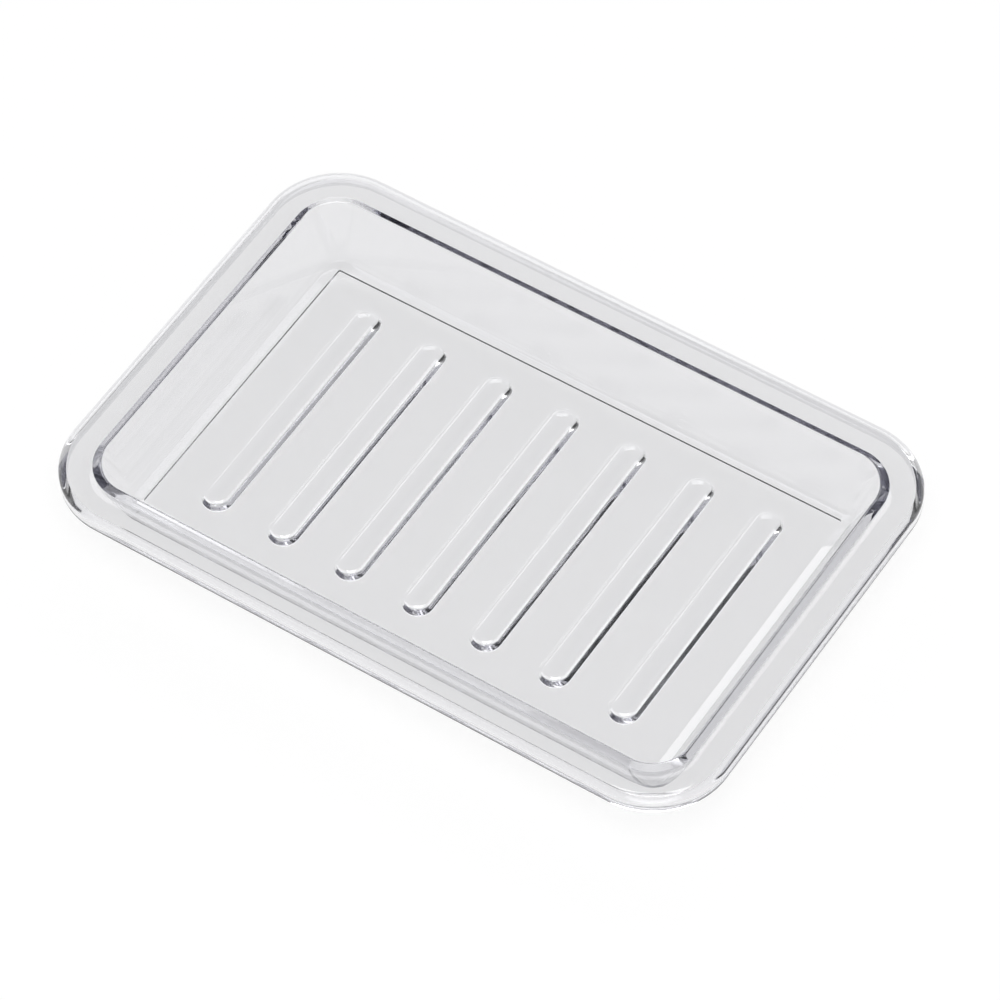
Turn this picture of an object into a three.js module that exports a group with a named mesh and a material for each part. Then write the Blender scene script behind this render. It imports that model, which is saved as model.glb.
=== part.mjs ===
// A clear moulded soap dish: a shallow tray with leaning sides, a turned-down rim and raised drain ribs.
// Millimetres, +Z up. The origin is on the table, under the middle of the tray.

import * as THREE from 'three';

// Tray, seen from above
const DISH_LENGTH = 133.35; // along X, over the rim
const DISH_WIDTH = 88.9; // along Y, over the rim
const CORNER_RADIUS = 14.5; // outer corner of the rim
const SHARPEST_CORNER = 0.3; // least plan radius that a moulded corner comes out with

// Tray, seen in section
const TRAY_DEPTH = 12.1; // highest line of the rim down to the floor
const FLOOR_THICKNESS = 1.3;
const SIDE_THICKNESS = 2.03; // square to the leaning side
const RIM_THICKNESS = 1.2;
const LIP_THICKNESS = 1.57;
const LIP_DROP = 4.2; // highest line of the rim down to the lower edge of the lip
const WALL_LEAN = THREE.MathUtils.degToRad(24.25); // sides, measured from upright
const RIM_WIDTH = 7.55; // outer edge in to the mouth of the tray
const CROWN_INSET = 3.84; // outer edge in to the highest line of the rim
const OUTER_FALL = 0.43; // how far the rim falls from its highest line to the outer edge
const MOUTH_FALL = 0.64; // how far it falls from there to the mouth
const CROWN_RADIUS = 13.0; // rounding along the highest line
const RIM_OUTER_RADIUS = 1.88; // rounded shoulder of the rim
const RIM_INNER_RADIUS = 0.68; // rim turning down into the side
const UNDER_RIM_RADIUS = 0.1; // hollow corners under the rim
const LIP_EDGE_RADIUS = 0.5; // lower edges of the lip
const BASE_RADIUS = 0.3; // edge round the flat underside
const BEVEL_RISE = 0.95; // floor up to the line where the bevel round it meets the side
const BEVEL_RUN = 1.78; // level run of the bevel
const BEVEL_RADIUS = 0.15; // rounding where it meets the side
const PANEL_SINK = 0.3; // how far the floor is sunk below the foot of the bevel
const PANEL_EDGE = 0.1; // level run of the edge round the sunk floor
const PANEL_MARGIN = 0.5; // floor left inside that edge, before the flat middle starts

// Drain ribs
const RIB_COUNT = 7;
const RIB_WIDTH = 6.0; // across one rib, at the floor
const RIB_HEIGHT = 1.5;
const RIB_FLANK = 0.9; // how far the flanks lean in between the floor and the top
const RIB_TOP_RADIUS = 1.3; // rounded shoulders of a rib
const RIB_END_GAP = 4.5; // flat floor left beyond the end of each rib
const RIB_SIDE_GAP = 7.55; // flat floor left beyond the first and the last rib

// Smoothness of the round stretches
const CORNER_STEPS = 8; // facets in a quarter turn, seen from above
const ARC_STEP = THREE.MathUtils.degToRad(22.5); // longest turn of one facet in section
const LEAST_ARC_FACETS = 2; // in section, on an arc that turns less than that

// Heights and insets that follow from the sizes above. An inset is measured in from the outer edge.
const dishHeight = FLOOR_THICKNESS + TRAY_DEPTH;
const mouthHeight = dishHeight - MOUTH_FALL;
const outerHeight = dishHeight - OUTER_FALL;
const lipBottom = dishHeight - LIP_DROP;
const levelThickness = SIDE_THICKNESS / Math.cos(WALL_LEAN); // measured level, through the leaning side
const bevelFoot = FLOOR_THICKNESS + PANEL_SINK;
const bevelTop = FLOOR_THICKNESS + BEVEL_RISE;
const insideInset = (height) => RIM_WIDTH + (mouthHeight - height) * Math.tan(WALL_LEAN);
const outsideInset = (height) => insideInset(height) - levelThickness;
const bevelInset = insideInset(bevelTop) + BEVEL_RUN;
const flatFloorInset = bevelInset + PANEL_EDGE;
const flatFloorLength = DISH_LENGTH - 2 * flatFloorInset;
const flatFloorWidth = DISH_WIDTH - 2 * flatFloorInset;

/** A section corner: inset and height, and the radius that rounds it. */
function corner(inset, height, radius = 0) {
  return { point: new THREE.Vector2(inset, height), radius };
}

/** Length of an edge that one rounded end may use: all of it, or half where the other end is round too. */
function shareOfEdge(edge, otherEnd) {
  return otherEnd.radius > 0 ? edge.length() / 2 : edge.length();
}

/** Section line through the corners, each rounded by an arc that is limited by its two edges. */
function roundedSection(corners) {
  const line = [];
  corners.forEach(({ point, radius }, index) => {
    if (radius === 0) {
      line.push(point);
      return;
    }
    const before = corners[index - 1];
    const after = corners[index + 1];
    const back = before.point.clone().sub(point);
    const ahead = after.point.clone().sub(point);
    const room = Math.min(shareOfEdge(back, before), shareOfEdge(ahead, after));
    back.normalize();
    ahead.normalize();
    const half = Math.acos(THREE.MathUtils.clamp(back.dot(ahead), -1, 1)) / 2;
    const fitted = Math.min(radius, room * Math.tan(half));
    const middle = back.clone().add(ahead).normalize();
    const centre = point.clone().addScaledVector(middle, fitted / Math.sin(half));
    const start = point.clone().addScaledVector(back, fitted / Math.tan(half));
    const turn = (Math.PI - 2 * half) * -Math.sign(back.cross(ahead));
    const steps = Math.max(Math.ceil(Math.abs(turn) / ARC_STEP), LEAST_ARC_FACETS);
    for (let step = 0; step <= steps; step += 1) {
      line.push(start.clone().rotateAround(centre, (turn * step) / steps));
    }
  });
  return line;
}

/** Points of a rounded rectangle, anticlockwise, at an inset from its outer edge. */
function rectangleRing(length, width, cornerRadius, inset, height) {
  const radius = Math.max(cornerRadius - inset, SHARPEST_CORNER);
  const centreX = length / 2 - inset - radius;
  const centreY = width / 2 - inset - radius;
  const ring = [];
  for (let quarter = 0; quarter < 4; quarter += 1) {
    const signX = quarter === 0 || quarter === 3 ? 1 : -1;
    const signY = quarter < 2 ? 1 : -1;
    for (let step = 0; step <= CORNER_STEPS; step += 1) {
      const angle = ((quarter + step / CORNER_STEPS) * Math.PI) / 2;
      const x = signX * centreX + radius * Math.cos(angle);
      const y = signY * centreY + radius * Math.sin(angle);
      ring.push(new THREE.Vector3(x, y, height));
    }
  }
  return ring;
}

/** Closed body: a section carried round a rounded rectangle, from its flat top to its flat bottom. */
function sweptBody(length, width, cornerRadius, section) {
  const rings = section.map(({ x, y }) => rectangleRing(length, width, cornerRadius, x, y));
  const around = rings[0].length;
  const lastRing = (rings.length - 1) * around;
  const triangles = [];
  for (let ring = 0; ring < rings.length - 1; ring += 1) {
    for (let place = 0; place < around; place += 1) {
      const next = (place + 1) % around;
      const above = ring * around;
      const below = above + around;
      triangles.push(above + place, below + place, above + next);
      triangles.push(above + next, below + place, below + next);
    }
  }
  for (let place = 1; place < around - 1; place += 1) {
    triangles.push(0, place, place + 1);
    triangles.push(lastRing, lastRing + place + 1, lastRing + place);
  }
  const geometry = new THREE.BufferGeometry().setFromPoints(rings.flat());
  geometry.setIndex(triangles);
  geometry.computeVertexNormals();
  return geometry;
}

/** Clear, glossy moulding plastic with a faint cool tint. */
function clearPlastic() {
  return new THREE.MeshStandardMaterial({
    color: 0xe3e8e8,
    roughness: 0.06,
    metalness: 0,
    transparent: true,
    opacity: 0.4,
  });
}

/** Floor, leaning sides, gently crowned rim and turned-down lip, in one. */
function buildTray() {
  const underMouth = mouthHeight - RIM_THICKNESS;
  const section = roundedSection([
    corner(flatFloorInset + PANEL_MARGIN, FLOOR_THICKNESS),
    corner(flatFloorInset, FLOOR_THICKNESS),
    corner(bevelInset, bevelFoot),
    corner(insideInset(bevelTop), bevelTop, BEVEL_RADIUS),
    corner(RIM_WIDTH, mouthHeight, RIM_INNER_RADIUS),
    corner(CROWN_INSET, dishHeight, CROWN_RADIUS),
    corner(0, outerHeight, RIM_OUTER_RADIUS),
    corner(0, lipBottom, LIP_EDGE_RADIUS),
    corner(LIP_THICKNESS, lipBottom, LIP_EDGE_RADIUS),
    corner(LIP_THICKNESS, outerHeight - RIM_THICKNESS, UNDER_RIM_RADIUS),
    corner(CROWN_INSET, dishHeight - RIM_THICKNESS, CROWN_RADIUS),
    corner(outsideInset(underMouth), underMouth, UNDER_RIM_RADIUS),
    corner(outsideInset(0), 0, BASE_RADIUS),
    corner(flatFloorInset + PANEL_MARGIN, 0),
  ]);
  const tray = new THREE.Mesh(sweptBody(DISH_LENGTH, DISH_WIDTH, CORNER_RADIUS, section), clearPlastic());
  tray.name = 'tray';
  return tray;
}

/** One raised rib with leaning flanks and round ends, standing on its own base. */
function buildRib(name, length) {
  const topMiddle = RIB_WIDTH / 2 - SHARPEST_CORNER;
  const section = roundedSection([
    corner(topMiddle, RIB_HEIGHT),
    corner(RIB_FLANK, RIB_HEIGHT, RIB_TOP_RADIUS),
    corner(0, 0),
  ]);
  const rib = new THREE.Mesh(sweptBody(RIB_WIDTH, length, RIB_WIDTH / 2, section), clearPlastic());
  rib.name = name;
  return rib;
}

/** The row of ribs across the floor, evenly spaced between the two end gaps. */
function buildRibs() {
  const row = new THREE.Group();
  const length = flatFloorWidth - 2 * RIB_END_GAP;
  const span = flatFloorLength - 2 * RIB_SIDE_GAP - RIB_WIDTH;
  for (let index = 0; index < RIB_COUNT; index += 1) {
    const rib = buildRib(`drain_rib_${index + 1}`, length);
    rib.position.x = span * (index / (RIB_COUNT - 1) - 0.5);
    row.add(rib);
  }
  row.position.z = FLOOR_THICKNESS;
  return row;
}

const soapDish = new THREE.Group();
soapDish.add(buildTray(), buildRibs());

export default soapDish;
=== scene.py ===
"""A clear moulded soap dish: one fused skin of tray and drain ribs, its finish, and the studio round it.

Everything is in metres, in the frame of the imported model: +X along the length, +Y along the ribs, +Z up.
"""

import logging
import math
from dataclasses import dataclass, field
from enum import Enum
from typing import Any

import bpy
from mathutils import Matrix, Vector
from mathutils.geometry import tessellate_polygon


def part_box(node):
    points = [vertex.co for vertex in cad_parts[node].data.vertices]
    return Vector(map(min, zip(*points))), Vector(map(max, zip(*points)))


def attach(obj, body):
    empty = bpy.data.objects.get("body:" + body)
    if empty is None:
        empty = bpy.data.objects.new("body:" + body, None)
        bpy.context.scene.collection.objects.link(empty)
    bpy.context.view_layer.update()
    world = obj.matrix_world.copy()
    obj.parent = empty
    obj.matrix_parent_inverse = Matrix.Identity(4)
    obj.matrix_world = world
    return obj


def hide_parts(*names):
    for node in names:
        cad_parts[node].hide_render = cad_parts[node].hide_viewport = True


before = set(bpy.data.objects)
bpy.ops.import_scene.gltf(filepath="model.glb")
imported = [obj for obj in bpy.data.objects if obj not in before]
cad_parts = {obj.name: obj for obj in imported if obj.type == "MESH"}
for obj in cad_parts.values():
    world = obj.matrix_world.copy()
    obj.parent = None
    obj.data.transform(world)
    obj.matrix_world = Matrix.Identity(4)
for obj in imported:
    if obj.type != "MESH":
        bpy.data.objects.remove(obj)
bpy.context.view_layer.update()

LOG = logging.getLogger("soap_dish")
BODY = "root"
TRAY_NODE = "tray"
RIB_PREFIX = "drain_rib_"
UP = Vector((0.0, 0.0, 1.0))
LAMP_WATTS = 4.0  # power per square metre that gives the face of a lamp a radiance of 1


class RayKind(Enum):
    """The rays that see a surface as background, by their names on a Light Path node."""

    CAMERA = "Is Camera Ray"
    GLOSSY = "Is Glossy Ray"
    TRANSMISSION = "Is Transmission Ray"


class Quarter(Enum):
    """The round corners of a plan, anticlockwise, as the signs of their X and Y."""

    FAR_RIGHT = (1, 1)
    FAR_LEFT = (-1, 1)
    NEAR_LEFT = (-1, -1)
    NEAR_RIGHT = (1, -1)


@dataclass(frozen=True)
class Corner:
    """A corner of a section line before it is rounded.

    Attributes:
        inset: Distance in from the outer edge of the plan.
        height: Height above the table.
        radius: Radius that rounds the corner. The two ends of a line have none.
    """

    inset: float
    height: float
    radius: float = 0.0

    @property
    def place(self) -> Vector:
        """The corner as a flat vector."""
        return Vector((self.inset, self.height))


@dataclass(frozen=True)
class SectionPoint:
    """A point of a section line.

    Attributes:
        place: Inset and height of the point.
        facing: The way that the surface faces there, as inset and height.
    """

    place: Vector
    facing: Vector


@dataclass(frozen=True)
class SectionLine:
    """A section line that runs from a flat top to a flat bottom, with its corners rounded by arcs.

    Attributes:
        corners: The corners in order, the first and the last of them sharp.
        arc_step: Longest turn of one facet of an arc, in radians.
    """

    corners: tuple[Corner, ...]
    arc_step: float

    def points(self) -> list[SectionPoint]:
        """Works out the line. Two arcs that meet on a short edge both give way by the same share.

        Returns:
            The points in order, each with its facing.
        """
        edges = [after.place - before.place for before, after in zip(self.corners, self.corners[1:])]
        turns = [0.0, *(self._turn(before, after) for before, after in zip(edges, edges[1:])), 0.0]
        reaches = [corner.radius * math.tan(abs(turn) / 2) for corner, turn in zip(self.corners, turns)]
        line = [SectionPoint(self.corners[0].place, self._facing(edges[0]))]
        for index in range(1, len(self.corners) - 1):
            room = [edges[edge].length / (reaches[edge] + reaches[edge + 1]) for edge in (index - 1, index)]
            way = edges[index - 1].normalized()
            line += self._arc(self.corners[index], way, turns[index], share=min(1.0, *room))
        line.append(SectionPoint(self.corners[-1].place, self._facing(edges[-1])))
        return line

    @staticmethod
    def _facing(way: Vector) -> Vector:
        """The outward side of a stretch that runs a given way."""
        return Vector((way.y, -way.x)).normalized()

    @staticmethod
    def _turn(before: Vector, after: Vector) -> float:
        """The anticlockwise angle from one edge to the next."""
        return math.atan2(before.cross(after), before.dot(after))

    def _arc(self, corner: Corner, way: Vector, turn: float, share: float) -> list[SectionPoint]:
        """Rounds one corner.

        Args:
            corner: The corner to round.
            way: Direction of the edge that leads to it.
            turn: Anticlockwise angle that the line turns there.
            share: Share of the radius that its two edges have room for.

        Returns:
            The points of the arc, its two tangent points included.
        """
        radius = corner.radius * share
        start = corner.place - way * (radius * math.tan(abs(turn) / 2))
        centre = start - self._facing(way) * math.copysign(radius, turn)
        steps = math.ceil(abs(turn) / self.arc_step)
        arc = []
        for step in range(steps + 1):
            spin = Matrix.Rotation(turn * step / steps, 2)
            arc.append(SectionPoint(centre + spin @ (start - centre), spin @ self._facing(way)))
        return arc


@dataclass(frozen=True)
class RoundedPlan:
    """A rounded rectangle seen from above, with a ring at any inset from its edge.

    Attributes:
        centre: Middle of the rectangle, as X and Y.
        length: Size along X.
        width: Size along Y.
        corner_radius: Radius of its corners.
        corner_steps: Facets in each corner.
        sharpest: Least radius that a moulded corner comes out with.
    """

    centre: Vector
    length: float
    width: float
    corner_radius: float
    corner_steps: int
    sharpest: float = 0.0003

    def _corner_places(self) -> list[tuple[Quarter, float]]:
        """Lists the places round the plan.

        Returns:
            For each place its corner and the angle that it faces. A corner leaves out its last place where
            no straight side follows it, because the next corner starts there.
        """
        sides = (self.length, self.width)
        places = []
        for index, quarter in enumerate(Quarter):
            has_side = sides[index % 2] > 2 * self.corner_radius
            for step in range(self.corner_steps + has_side):
                places.append((quarter, (index + step / self.corner_steps) * math.pi / 2))
        return places

    def ring(self, point: SectionPoint) -> list[tuple[Vector, Vector]]:
        """Carries one section point round the plan.

        Args:
            point: The section point.

        Returns:
            The place and the facing of each point of the ring, anticlockwise.
        """
        inset, height = point.place
        inward, upward = point.facing
        radius = max(self.corner_radius - inset, self.sharpest)
        reach = Vector((self.length / 2 - inset - radius, self.width / 2 - inset - radius))
        ring = []
        for quarter, angle in self._corner_places():
            sign_x, sign_y = quarter.value
            out = Vector((math.cos(angle), math.sin(angle)))
            flat = self.centre + Vector((sign_x * reach.x, sign_y * reach.y)) + out * radius
            ring.append((flat.to_3d() + UP * height, -inward * out.to_3d() + UP * upward))
        return ring


@dataclass
class Skin:
    """A closed skin put together from rings, strips between rings and flat fills.

    Attributes:
        places: The points.
        facings: The way that the surface faces at each point.
        faces: The faces, each as the numbers of its points.
    """

    places: list[Vector] = field(default_factory=list)
    facings: list[Vector] = field(default_factory=list)
    faces: list[tuple[int, ...]] = field(default_factory=list)

    def sweep(self, plan: RoundedPlan, line: SectionLine) -> list[list[int]]:
        """Carries a section line round a plan.

        Args:
            plan: The plan to follow.
            line: The section line.

        Returns:
            The point numbers of each ring, from the top of the line to its bottom.
        """
        rings = []
        for point in line.points():
            ring = plan.ring(point)
            start = len(self.places)
            self.places += [place for place, _ in ring]
            self.facings += [facing for _, facing in ring]
            rings.append(list(range(start, start + len(ring))))
        for upper, lower in zip(rings, rings[1:]):
            for place in range(len(upper)):
                after = (place + 1) % len(upper)
                self.faces.append((upper[place], lower[place], lower[after], upper[after]))
        return rings

    def cap(self, ring: list[int]) -> None:
        """Closes a ring with one flat face that faces as the ring runs."""
        self.faces.append(tuple(ring))

    def fill(self, outline: list[int], holes: list[list[int]]) -> None:
        """Fills the level ground between an outline and the holes in it, facing up.

        Args:
            outline: The outer ring.
            holes: The rings that stay open.
        """
        loops = [outline, *holes]
        numbers = [number for loop in loops for number in loop]
        for triangle in tessellate_polygon([[self.places[number] for number in loop] for loop in loops]):
            a, b, c = (numbers[index] for index in triangle)
            rises = (self.places[b] - self.places[a]).cross(self.places[c] - self.places[a]).z > 0
            self.faces.append((a, b, c) if rises else (a, c, b))

    def to_object(self, name: str) -> bpy.types.Object:
        """Makes the smooth mesh object.

        Args:
            name: Name of the piece.

        Returns:
            The new object, linked to the scene.
        """
        mesh = bpy.data.meshes.new(name)
        mesh.from_pydata(self.places, [], self.faces)
        mesh.shade_smooth()
        mesh.normals_split_custom_set_from_vertices(self.facings)
        piece = bpy.data.objects.new(name, mesh)
        bpy.context.scene.collection.objects.link(piece)
        return piece


@dataclass(frozen=True)
class Tray:
    """Floor, leaning sides, gently crowned rim and turned-down lip.

    Attributes:
        length: Size along X, over the rim.
        width: Size along Y, over the rim.
        floor_thickness: Thickness of the floor.
        depth: Highest line of the rim, before it is rounded, down to the floor.
        side_thickness: Thickness of the sides, square to their lean.
        rim_thickness: Thickness of the rim.
        lip_thickness: Thickness of the lip.
        lip_drop: Highest line of the rim down to the lower edge of the lip.
        wall_lean: Lean of the sides from upright.
        rim_width: Outer edge in to the mouth of the tray.
        crown_inset: Outer edge in to the highest line of the rim.
        outer_fall: How far the rim falls from there to its outer edge.
        mouth_fall: How far it falls to the mouth.
        crown_radius: Rounding along the highest line.
        corner_radius: Outer corner of the rim, seen from above.
        rim_outer_radius: Rounded shoulder of the rim.
        rim_inner_radius: Rim turning down into the side.
        under_rim_radius: Hollow corners under the rim.
        lip_outer_edge_radius: Rounding of the lower edge of the lip, on the outside.
        lip_inner_edge_radius: The same, on the inside.
        base_radius: Edge round the flat underside.
        bevel_rise: Floor up to the line where the bevel round it meets the side.
        bevel_run: Level run of the bevel.
        bevel_radius: Rounding where it meets the side.
        panel_sink: How far the floor is sunk below the foot of the bevel.
        panel_edge: Level run of the edge round the sunk floor.
        panel_radius: Rounding of that edge.
        panel_margin: Floor left inside that edge, before the flat middle starts.
        corner_steps: Facets in each corner, seen from above.
        arc_step: Longest turn of one facet in section, in radians.
    """

    length: float
    width: float
    floor_thickness: float
    depth: float = 0.0121
    side_thickness: float = 0.00203
    rim_thickness: float = 0.0012
    lip_thickness: float = 0.00157
    lip_drop: float = 0.0042
    wall_lean: float = math.radians(24.25)
    rim_width: float = 0.00755
    crown_inset: float = 0.00384
    outer_fall: float = 0.00043
    mouth_fall: float = 0.00064
    crown_radius: float = 0.013
    corner_radius: float = 0.0145
    rim_outer_radius: float = 0.00188
    rim_inner_radius: float = 0.00068
    under_rim_radius: float = 0.0001
    lip_outer_edge_radius: float = 0.00045
    lip_inner_edge_radius: float = 0.001
    base_radius: float = 0.0003
    bevel_rise: float = 0.00095
    bevel_run: float = 0.00178
    bevel_radius: float = 0.00015
    panel_sink: float = 0.0003
    panel_edge: float = 0.0001
    panel_radius: float = 0.00006
    panel_margin: float = 0.0005
    corner_steps: int = 40
    arc_step: float = math.radians(5.0)

    @property
    def height(self) -> float:
        """Table to the highest line of the rim."""
        return self.floor_thickness + self.depth

    def inside_inset(self, height: float) -> float:
        """Inset of the inner face of the side at a height."""
        return self.rim_width + (self.height - self.mouth_fall - height) * math.tan(self.wall_lean)

    def outside_inset(self, height: float) -> float:
        """Inset of the outer face of the side at a height."""
        return self.inside_inset(height) - self.side_thickness / math.cos(self.wall_lean)

    def section(self) -> SectionLine:
        """Draws the section from the floor over the rim and back to the underside.

        Returns:
            The section line.
        """
        floor, lip = self.floor_thickness, self.lip_thickness
        mouth, outer = self.height - self.mouth_fall, self.height - self.outer_fall
        tops = (mouth, outer, self.height)
        under_mouth, under_outer, under_crown = (top - self.rim_thickness for top in tops)
        lip_bottom = self.height - self.lip_drop
        bevel_top, bevel_foot = floor + self.bevel_rise, floor + self.panel_sink
        bevel_inset = self.inside_inset(bevel_top)
        panel_top = bevel_inset + self.bevel_run
        panel_foot = panel_top + self.panel_edge
        middle = panel_foot + self.panel_margin
        corners = (
            Corner(middle, floor),
            Corner(panel_foot, floor, self.panel_radius),
            Corner(panel_top, bevel_foot, self.panel_radius),
            Corner(bevel_inset, bevel_top, self.bevel_radius),
            Corner(self.rim_width, mouth, self.rim_inner_radius),
            Corner(self.crown_inset, self.height, self.crown_radius),
            Corner(0.0, outer, self.rim_outer_radius),
            Corner(0.0, lip_bottom, self.lip_outer_edge_radius),
            Corner(lip, lip_bottom, self.lip_inner_edge_radius),
            Corner(lip, under_outer, self.under_rim_radius),
            Corner(self.crown_inset, under_crown, self.crown_radius),
            Corner(self.outside_inset(under_mouth), under_mouth, self.under_rim_radius),
            Corner(self.outside_inset(0.0), 0.0, self.base_radius),
            Corner(middle, 0.0),
        )
        return SectionLine(corners, self.arc_step)

    def build(self, skin: Skin) -> list[int]:
        """Adds the tray to a skin and closes its underside.

        Args:
            skin: The skin to add to.

        Returns:
            The ring that bounds the level floor.
        """
        centre = Vector((0.0, 0.0))
        plan = RoundedPlan(centre, self.length, self.width, self.corner_radius, self.corner_steps)
        rings = skin.sweep(plan, self.section())
        skin.cap(rings[-1][::-1])
        return rings[0]


@dataclass(frozen=True)
class DrainRib:
    """A raised rib with leaning flanks and round ends, growing out of the floor.

    Attributes:
        centre: Middle of the rib, as X and Y.
        width: Size across the rib, at the floor.
        length: Size along the rib, at the floor.
        floor: Height of the floor that it stands on.
        top: Height of its crest.
        flank: How far the flanks lean in between the floor and the crest.
        top_radius: Rounded shoulders.
        foot_radius: Fillet where the flanks meet the floor.
        foot_margin: Level floor round the foot that is made with the rib.
        crest_half_width: Half the width of the flat strip that closes the crest.
        corner_steps: Facets in each quarter of the round ends.
        arc_step: Longest turn of one facet in section, in radians.
    """

    centre: Vector
    width: float
    length: float
    floor: float
    top: float
    flank: float = 0.0009
    top_radius: float = 0.0013
    foot_radius: float = 0.0003
    foot_margin: float = 0.0006
    crest_half_width: float = 0.0003
    corner_steps: int = 20
    arc_step: float = math.radians(5.0)

    @classmethod
    def from_node(cls, name: str) -> "DrainRib":
        """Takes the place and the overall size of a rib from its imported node.

        Args:
            name: Name of the node.

        Returns:
            The rib, ready to build.
        """
        low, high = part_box(name)
        size = high - low
        centre = ((low + high) / 2).to_2d()
        return cls(centre, size.x, size.y, low.z, high.z)

    def build(self, skin: Skin) -> list[int]:
        """Adds the rib to a skin and closes its crest.

        Args:
            skin: The skin to add to.

        Returns:
            The ring where the rib meets the level floor.
        """
        corners = (
            Corner(self.width / 2 - self.crest_half_width, self.top),
            Corner(self.flank, self.top, self.top_radius),
            Corner(0.0, self.floor, self.foot_radius),
            Corner(-self.foot_margin, self.floor),
        )
        plan = RoundedPlan(self.centre, self.width, self.length, self.width / 2, self.corner_steps)
        rings = skin.sweep(plan, SectionLine(corners, self.arc_step))
        skin.cap(rings[0])
        return rings[-1]


class NodeSheet:
    """A cleared node tree with short ways to add nodes and links."""

    def __init__(self, tree: bpy.types.NodeTree) -> None:
        """Clears the tree and keeps it."""
        self.tree = tree
        tree.nodes.clear()

    def add(self, kind: str, inputs: dict[str | int, Any] | None = None, **settings: Any) -> bpy.types.Node:
        """Adds a node.

        Args:
            kind: Blender's name of the node type.
            inputs: Values or output sockets for its inputs, by name or number.
            settings: Properties of the node.

        Returns:
            The new node.
        """
        node = self.tree.nodes.new(kind)
        for name, value in settings.items():
            setattr(node, name, value)
        for key, value in (inputs or {}).items():
            if isinstance(value, bpy.types.NodeSocket):
                self.tree.links.new(value, node.inputs[key])
            else:
                node.inputs[key].default_value = value
        return node

    def add_range(
        self,
        value: bpy.types.NodeSocket,
        given: tuple[float, float],
        wanted: tuple[float, float],
        **settings: Any,
    ) -> bpy.types.Node:
        """Adds a node that maps one range of values to another.

        Args:
            value: Output socket to map.
            given: Its values at the two ends of the range.
            wanted: What they become.
            settings: Properties of the node.

        Returns:
            The new node.
        """
        ends = dict(zip(("From Min", "From Max", "To Min", "To Max"), (*given, *wanted)))
        return self.add("ShaderNodeMapRange", {"Value": value, **ends}, **settings)

    def join(self, source: bpy.types.NodeSocket, target: bpy.types.NodeSocket) -> None:
        """Links an output to an input."""
        self.tree.links.new(source, target)


@dataclass(frozen=True)
class ClearPlastic:
    """Polished clear moulding plastic with a faint cool tint, mould ripple and fine scuffs.

    Attributes:
        name: Name of the material.
        colour: Share of the light that passes through two of its faces.
        refraction: Index of refraction.
        tint: Colour that a long way through the plastic takes.
        tint_density: How fast it takes it, per metre.
        polish: Least and greatest roughness.
        scuff_size: Width of the patches that are scuffed alike.
        scuff_detail: How many finer sizes of patch there are.
        scuff_grain: How strong each of those is beside the one before.
        scuff_levels: Noise levels that get the least and the greatest roughness.
        ripple_size: Width of the slow waves that the mould leaves.
        ripple_detail: How many finer waves run on them.
        ripple_depth: Depth of the waves.
    """

    name: str = "clear_plastic"
    colour: tuple[float, float, float] = (0.885, 0.885, 0.895)
    refraction: float = 1.56
    tint: tuple[float, float, float] = (0.92, 0.92, 0.93)
    tint_density: float = 190.0
    polish: tuple[float, float] = (0.02, 0.06)
    scuff_size: float = 0.004
    scuff_detail: float = 6.0
    scuff_grain: float = 0.6
    scuff_levels: tuple[float, float] = (0.45, 0.75)
    ripple_size: float = 0.012
    ripple_detail: float = 1.0
    ripple_depth: float = 0.00002

    def material(self) -> bpy.types.Material:
        """Makes the material.

        Returns:
            The new material.
        """
        material = bpy.data.materials.new(self.name)
        material.use_nodes = True
        sheet = NodeSheet(material.node_tree)
        place = sheet.add("ShaderNodeTexCoord").outputs["Object"]
        scuffs = sheet.add(
            "ShaderNodeTexNoise",
            {
                "Vector": place,
                "Scale": 1 / self.scuff_size,
                "Detail": self.scuff_detail,
                "Roughness": self.scuff_grain,
            },
        )
        rough = sheet.add_range(scuffs.outputs["Fac"], self.scuff_levels, self.polish)
        ripple = sheet.add(
            "ShaderNodeTexNoise",
            {"Vector": place, "Scale": 1 / self.ripple_size, "Detail": self.ripple_detail},
        )
        bump = sheet.add(
            "ShaderNodeBump",
            {"Height": ripple.outputs["Fac"], "Distance": self.ripple_depth, "Strength": 1.0},
        )
        plastic = sheet.add(
            "ShaderNodeBsdfPrincipled",
            {
                "Base Color": (*self.colour, 1.0),
                "Roughness": rough.outputs["Result"],
                "IOR": self.refraction,
                "Transmission Weight": 1.0,
                "Normal": bump.outputs["Normal"],
            },
        )
        absorption = sheet.add(
            "ShaderNodeVolumeAbsorption", {"Color": (*self.tint, 1.0), "Density": self.tint_density}
        )
        output = sheet.add("ShaderNodeOutputMaterial")
        sheet.join(plastic.outputs["BSDF"], output.inputs["Surface"])
        sheet.join(absorption.outputs["Volume"], output.inputs["Volume"])
        return material


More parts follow.
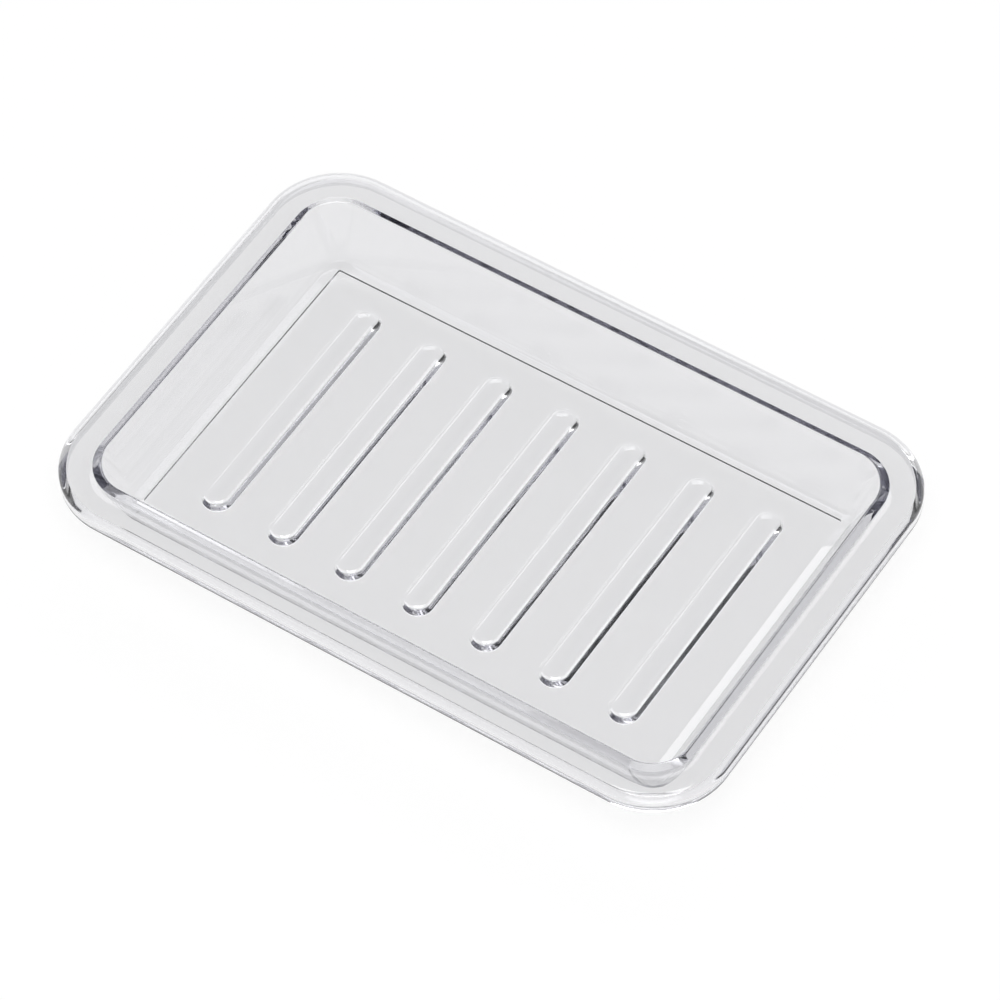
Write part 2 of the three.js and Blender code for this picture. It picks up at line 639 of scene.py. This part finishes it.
@dataclass(frozen=True)
class MouldedDish:
    """The whole dish: the tray and its row of drain ribs, moulded in one.

    Attributes:
        tray: The tray.
        ribs: The drain ribs, in order along X.
        rib_names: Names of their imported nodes, in the same order.
        finish: The plastic of the dish.
    """

    tray: Tray
    ribs: tuple[DrainRib, ...]
    rib_names: tuple[str, ...]
    finish: ClearPlastic = ClearPlastic()

    @classmethod
    def from_frame(cls) -> "MouldedDish":
        """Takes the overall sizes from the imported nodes.

        Returns:
            The dish, ready to build.
        """
        names = tuple(sorted(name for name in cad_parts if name.startswith(RIB_PREFIX)))
        ribs = tuple(DrainRib.from_node(name) for name in names)
        low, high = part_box(TRAY_NODE)
        size = high - low
        tray = Tray(size.x, size.y, floor_thickness=ribs[0].floor)
        return cls(tray, ribs, names)

    def build(self) -> bpy.types.Object:
        """Moulds tray and ribs into one closed skin.

        Returns:
            The dish.
        """
        skin = Skin()
        floor_edge = self.tray.build(skin)
        rib_feet = [rib.build(skin) for rib in self.ribs]
        skin.fill(floor_edge, rib_feet)
        dish = skin.to_object("moulded_dish")
        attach(dish, BODY)
        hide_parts(TRAY_NODE, *self.rib_names)
        LOG.info("%s: %d faces, %d ribs", dish.name, len(skin.faces), len(self.ribs))
        return dish

    def dress(self, dish: bpy.types.Object) -> None:
        """Gives the dish its finish."""
        dish.data.materials.append(self.finish.material())


@dataclass(frozen=True)
class PaleFloor:
    """A plain pale floor that keeps the shadow and is lifted to white for rays that see it as background.

    Attributes:
        half_size: Middle of the floor to each edge.
        drop: How far it lies below the underside of the dish.
        colour: Its paint.
        lift: Glow that is added to the paint for those rays.
    """

    half_size: float = 3.0
    drop: float = 0.0001
    colour: tuple[float, float, float] = (0.12, 0.12, 0.12)
    lift: float = 0.88

    def build(self) -> bpy.types.Object:
        """Lays the floor just under the dish.

        Returns:
            The floor.
        """
        mesh = bpy.data.meshes.new("pale_floor")
        edge = self.half_size
        corners = [(x * edge, y * edge, -self.drop) for x, y in (quarter.value for quarter in Quarter)]
        mesh.from_pydata(corners, [], [tuple(range(len(corners)))])
        floor = bpy.data.objects.new(mesh.name, mesh)
        bpy.context.scene.collection.objects.link(floor)
        mesh.materials.append(self._material())
        LOG.info("%s: %.1f m wide", floor.name, 2 * edge)
        return floor

    def _material(self) -> bpy.types.Material:
        """Makes the floor's material.

        Returns:
            The new material.
        """
        material = bpy.data.materials.new("pale_floor")
        material.use_nodes = True
        sheet = NodeSheet(material.node_tree)
        path = sheet.add("ShaderNodeLightPath")
        seen = path.outputs[RayKind.CAMERA.value]
        for kind in (RayKind.GLOSSY, RayKind.TRANSMISSION):
            either = {0: seen, 1: path.outputs[kind.value]}
            seen = sheet.add("ShaderNodeMath", either, operation="MAXIMUM").outputs[0]
        glow_level = sheet.add("ShaderNodeMath", {0: seen, 1: self.lift}, operation="MULTIPLY")
        paint = sheet.add("ShaderNodeBsdfDiffuse", {"Color": (*self.colour, 1.0)})
        glow = sheet.add("ShaderNodeEmission", {"Strength": glow_level.outputs[0]})
        both = sheet.add("ShaderNodeAddShader", {0: paint.outputs[0], 1: glow.outputs[0]})
        output = sheet.add("ShaderNodeOutputMaterial")
        sheet.join(both.outputs[0], output.inputs["Surface"])
        return material


@dataclass(frozen=True)
class Softbox:
    """A flat, evenly bright lamp that faces the dish.

    Attributes:
        name: Name of the lamp.
        bearing: Where it stands round the dish, in degrees anticlockwise from +X.
        elevation: How high it stands, in degrees above the table.
        distance: Distance from the middle of the dish.
        size: Its width and its height.
        brightness: Radiance of its face, where 1 is as bright as the white floor.
    """

    name: str
    bearing: float
    elevation: float
    distance: float
    size: tuple[float, float]
    brightness: float

    def build(self) -> bpy.types.Object:
        """Hangs the lamp.

        Returns:
            The lamp.
        """
        width, height = self.size
        light = bpy.data.lights.new(self.name, "AREA")
        light.shape = "RECTANGLE"
        light.size = width
        light.size_y = height
        light.energy = self.brightness * LAMP_WATTS * width * height
        lamp = bpy.data.objects.new(self.name, light)
        bpy.context.scene.collection.objects.link(lamp)
        turn, rise = math.radians(self.bearing), math.radians(self.elevation)
        out = Vector((math.cos(rise) * math.cos(turn), math.cos(rise) * math.sin(turn), math.sin(rise)))
        lamp.location = out * self.distance
        lamp.rotation_euler = out.to_track_quat("Z", "Y").to_euler()
        LOG.info("%s: %.2f x %.2f m", self.name, width, height)
        return lamp


@dataclass(frozen=True)
class DimRoom:
    """The room round the table: pale near the horizon, as a paper sweep is, and dim overhead.

    Attributes:
        horizon: Radiance of the sweep.
        zenith: Radiance of the ceiling.
        sweep_end: Sines of the two elevations between which the sweep gives way to the ceiling.
    """

    horizon: float = 0.80
    zenith: float = 0.05
    sweep_end: tuple[float, float] = (0.40, 0.70)

    def build(self) -> None:
        """Makes the world."""
        world = bpy.data.worlds.new("dim_room")
        bpy.context.scene.world = world
        world.use_nodes = True
        sheet = NodeSheet(world.node_tree)
        way = sheet.add("ShaderNodeTexCoord").outputs["Generated"]
        rise = sheet.add("ShaderNodeSeparateXYZ", {0: way}).outputs["Z"]
        radiances = (self.horizon, self.zenith)
        level = sheet.add_range(rise, self.sweep_end, radiances, interpolation_type="SMOOTHSTEP")
        glow = sheet.add("ShaderNodeBackground", {"Strength": level.outputs["Result"]})
        output = sheet.add("ShaderNodeOutputWorld")
        sheet.join(glow.outputs[0], output.inputs["Surface"])
        LOG.info("%s: %.2f to %.2f", world.name, self.horizon, self.zenith)


@dataclass(frozen=True)
class PhotoCamera:
    """The camera, where the photograph was taken from.

    Attributes:
        rim_top: Height of the highest line of the rim.
        azimuth: Turn round the dish, in degrees, from a view along +Y.
        elevation: Height of the view, in degrees above the table.
        roll: Turn of the picture, in degrees.
        datum: How far below the top of the rim the point lies that the next two are measured from.
        distance: Distance from that point along the view.
        slide: How far that point lies right of and above the middle of the picture.
        lens: Focal length, in millimetres.
        sensor: Width of the sensor, in millimetres.
    """

    rim_top: float
    azimuth: float = 35.45
    elevation: float = 53.51
    roll: float = -2.746
    datum: float = 0.0136
    distance: float = 0.9558
    slide: tuple[float, float] = (-0.001462, -0.002858)
    lens: float = 198.0
    sensor: float = 36.0

    def build(self) -> bpy.types.Object:
        """Places the camera and makes it the scene's own.

        Returns:
            The camera.
        """
        turn, rise, roll = (math.radians(angle) for angle in (self.azimuth, self.elevation, self.roll))
        back = Vector((math.sin(turn) * math.cos(rise), -math.cos(turn) * math.cos(rise), math.sin(rise)))
        level = Vector((math.cos(turn), math.sin(turn), 0.0))
        right = Matrix.Rotation(roll, 3, back) @ level
        top = back.cross(right)
        data = bpy.data.cameras.new("photo_camera")
        data.lens = self.lens
        data.sensor_width = self.sensor
        camera = bpy.data.objects.new(data.name, data)
        bpy.context.scene.collection.objects.link(camera)
        camera.matrix_world = Matrix((right, top, back)).transposed().to_4x4()
        point = UP * (self.rim_top - self.datum)
        camera.location = point + back * self.distance - right * self.slide[0] - top * self.slide[1]
        bpy.context.scene.camera = camera
        LOG.info("%s: lens %.0f mm", camera.name, self.lens)
        return camera


@dataclass(frozen=True)
class Studio:
    """Floor, lamps and room.

    Attributes:
        floor: The floor.
        room: The room.
        lamps: The lamps.
        bounces: How often light may turn at a surface, which it does many times inside clear plastic.
    """

    floor: PaleFloor = PaleFloor()
    room: DimRoom = DimRoom()
    lamps: tuple[Softbox, ...] = (
        Softbox("front_box", bearing=-55.0, elevation=70.0, distance=1.2, size=(0.9, 0.9), brightness=4.0),
        Softbox("back_box", bearing=117.0, elevation=32.5, distance=1.2, size=(1.6, 0.34), brightness=1.9),
    )
    bounces: int = 64

    def build(self) -> None:
        """Sets up the studio with plain colour handling."""
        bpy.context.scene.view_settings.view_transform = "Standard"
        cycles = bpy.context.scene.cycles
        cycles.max_bounces = cycles.transmission_bounces = cycles.glossy_bounces = self.bounces
        self.floor.build()
        self.room.build()
        for lamp in self.lamps:
            lamp.build()


def main() -> None:
    """Places the camera and builds the dish and the studio."""
    logging.basicConfig(level=logging.INFO, format="%(name)s %(message)s")
    dish = MouldedDish.from_frame()
    PhotoCamera(dish.tray.height).build()
    dish.dress(dish.build())
    Studio().build()


if __name__ == "__main__":
    main()
